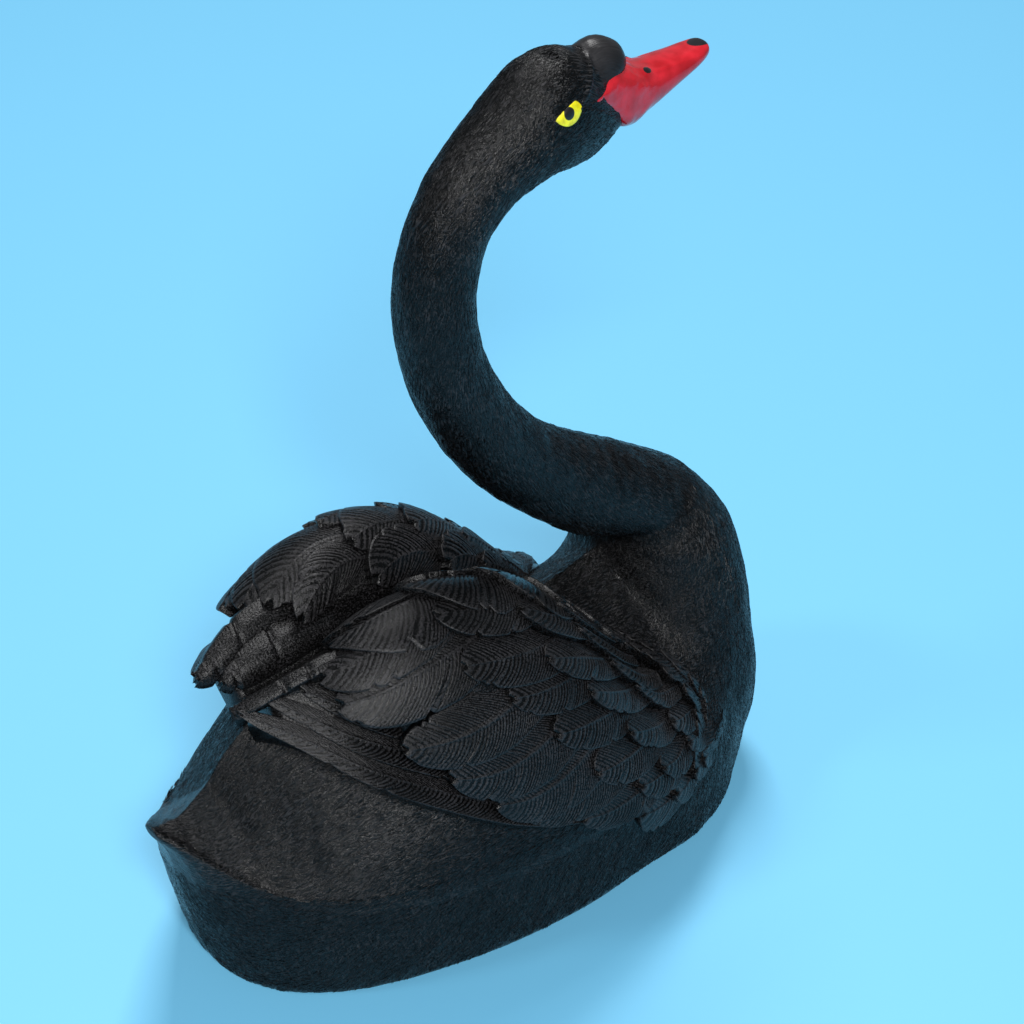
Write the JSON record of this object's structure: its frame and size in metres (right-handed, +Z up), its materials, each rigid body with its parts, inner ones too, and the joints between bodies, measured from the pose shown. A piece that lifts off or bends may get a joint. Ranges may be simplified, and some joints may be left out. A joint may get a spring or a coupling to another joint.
{
  "type": "swan figurine",
  "caption": "Swimming black swan figurine cast in one piece, with folded feathered wings, a raised S-shaped neck, a forehead knob and a red beak, standing on a flat base.",
  "frame": {"origin": "on the ground, on the swan's middle plane, under the widest part of the body", "axes": "+X towards the beak, +Y to the swan's left, +Z up"},
  "size_m": [0.2162, 0.1264, 0.2583],
  "materials": {
    "black_resin": "satin black painted cast resin"
  },
  "bodies": {
    "root": {"swan_casting": "black_resin"}
  },
  "joints": []
}
